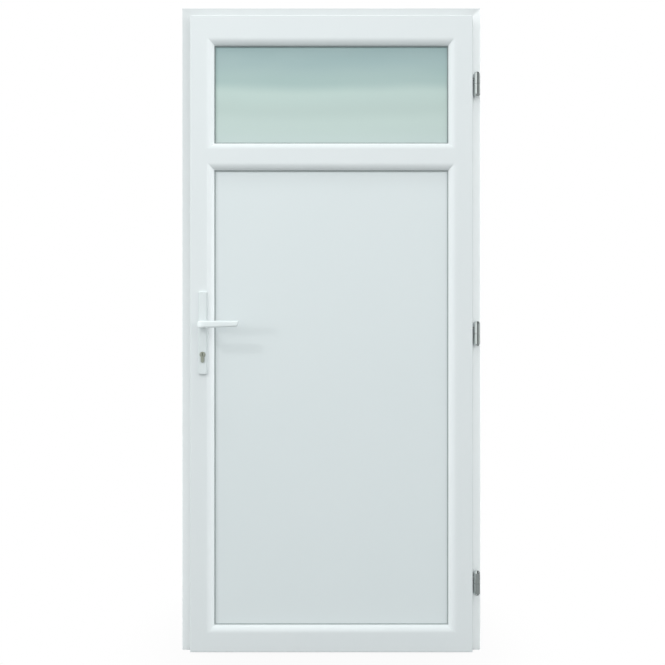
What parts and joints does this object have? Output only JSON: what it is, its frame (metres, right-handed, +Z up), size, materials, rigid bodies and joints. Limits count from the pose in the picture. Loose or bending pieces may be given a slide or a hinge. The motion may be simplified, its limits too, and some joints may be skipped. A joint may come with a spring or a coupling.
{
  "type": "front door",
  "caption": "White plastic front door in its frame, with an obscured glass light at the top, a plain panel below, a lever handle on a narrow plate and bright barrel hinges",
  "frame": {"origin": "centre of the underside of the threshold, on the floor", "axes": "X along the wall towards the hinge side, Y from the room to the outside, Z up"},
  "size_m": [0.93, 0.187, 2],
  "materials": {
    "frame_white": "satin",
    "panel_white": "satin",
    "handle_white": "satin",
    "obscured_glass": "satin",
    "seal_rubber": "matte",
    "bright_hinge": "polished",
    "plain_aluminium": "brushed",
    "lock_steel": "brushed",
    "cylinder_brass": "satin"
  },
  "bodies": {
    "frame": {"frame_lock_jamb": "frame_white", "frame_hinge_jamb": "frame_white", "frame_head": "frame_white", "threshold": "plain_aluminium", "frame_weatherseal": "seal_rubber", "strike_plate": "lock_steel", "hinge_frame_knuckle_bottom": "bright_hinge", "hinge_frame_knuckle_middle": "bright_hinge", "hinge_frame_knuckle_top": "bright_hinge"},
    "leaf": {"leaf_lock_stile": "frame_white", "leaf_hinge_stile": "frame_white", "leaf_top_rail": "frame_white", "leaf_mid_rail": "frame_white", "leaf_bottom_rail": "frame_white", "leaf_weatherseal": "seal_rubber", "door_panel": "panel_white", "inner_glass_pane": "obscured_glass", "outer_glass_pane": "obscured_glass", "glass_spacer": "plain_aluminium", "inside_glass_gasket": "seal_rubber", "outside_glass_gasket": "seal_rubber", "inside_panel_gasket": "seal_rubber", "outside_panel_gasket": "seal_rubber", "lock_faceplate": "lock_steel", "lock_cylinder": "cylinder_brass", "inside_back_plate": "handle_white", "outside_back_plate": "handle_white", "glass_bead_left": "frame_white", "glass_bead_right": "frame_white", "glass_bead_top": "frame_white", "glass_bead_bottom": "frame_white", "panel_bead_left": "frame_white", "panel_bead_right": "frame_white", "panel_bead_top": "frame_white", "panel_bead_bottom": "frame_white", "hinge_leaf_knuckle_bottom": "bright_hinge", "hinge_leaf_knuckle_middle": "bright_hinge", "hinge_leaf_knuckle_top": "bright_hinge"},
    "handle": {"inside_lever": "handle_white", "outside_lever": "handle_white", "handle_spindle": "lock_steel"}
  },
  "joints": [
    {"name": "leaf_swing", "type": "hinge", "parent": "frame", "child": "leaf", "pos_m": [0.45, -0.042, 0], "axis": [0, 0, 1], "range_deg": [0, 110]},
    {"name": "handle_turn", "type": "hinge", "parent": "leaf", "child": "handle", "pos_m": [-0.394, -0.0225, 1.0135], "axis": [0, 1, 0], "range_deg": [0, 40], "stiffness_Nm_per_rad": 2, "springref_deg": -28.65}
  ]
}
